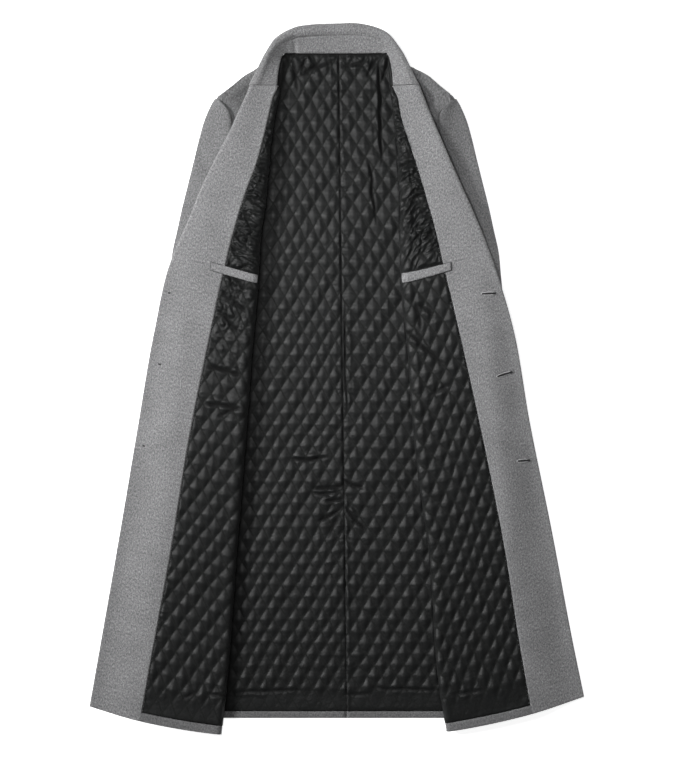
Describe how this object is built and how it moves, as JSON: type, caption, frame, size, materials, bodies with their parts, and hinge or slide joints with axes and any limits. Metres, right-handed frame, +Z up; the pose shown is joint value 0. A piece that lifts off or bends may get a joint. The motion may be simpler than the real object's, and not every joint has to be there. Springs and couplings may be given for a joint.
{
  "type": "overcoat",
  "caption": "Long grey wool overcoat laid flat on its back, fronts turned back to show a black diamond-quilted lining, inner welt pockets and facings.",
  "frame": {"origin": "middle of the coat's box, on the surface that it lies on", "axes": "+X to the viewer's right, the wearer's left; +Y from hem to collar; +Z up, out of the lining"},
  "size_m": [0.8796, 1.2608, 0.0405],
  "materials": {
    "wool": "grey melange wool and cashmere, soft nap",
    "lining": "black satin, diamond quilted over wadding",
    "horn": "dark horn, satin"
  },
  "bodies": {
    "root": {"back_shell_left": "wool", "back_shell_right": "wool", "back_lining_left": "lining", "back_lining_right": "lining", "front_shell_left": "wool", "front_shell_right": "wool", "front_lining_left": "lining", "front_lining_right": "lining", "facing_left": "wool", "facing_right": "wool", "sleeve_left": "wool", "sleeve_right": "wool", "pocket_welt_left": "wool", "pocket_welt_right": "wool", "collar_stand": "wool", "collar_leaf": "wool", "button_1": "horn", "button_2": "horn", "button_3": "horn"}
  },
  "joints": []
}
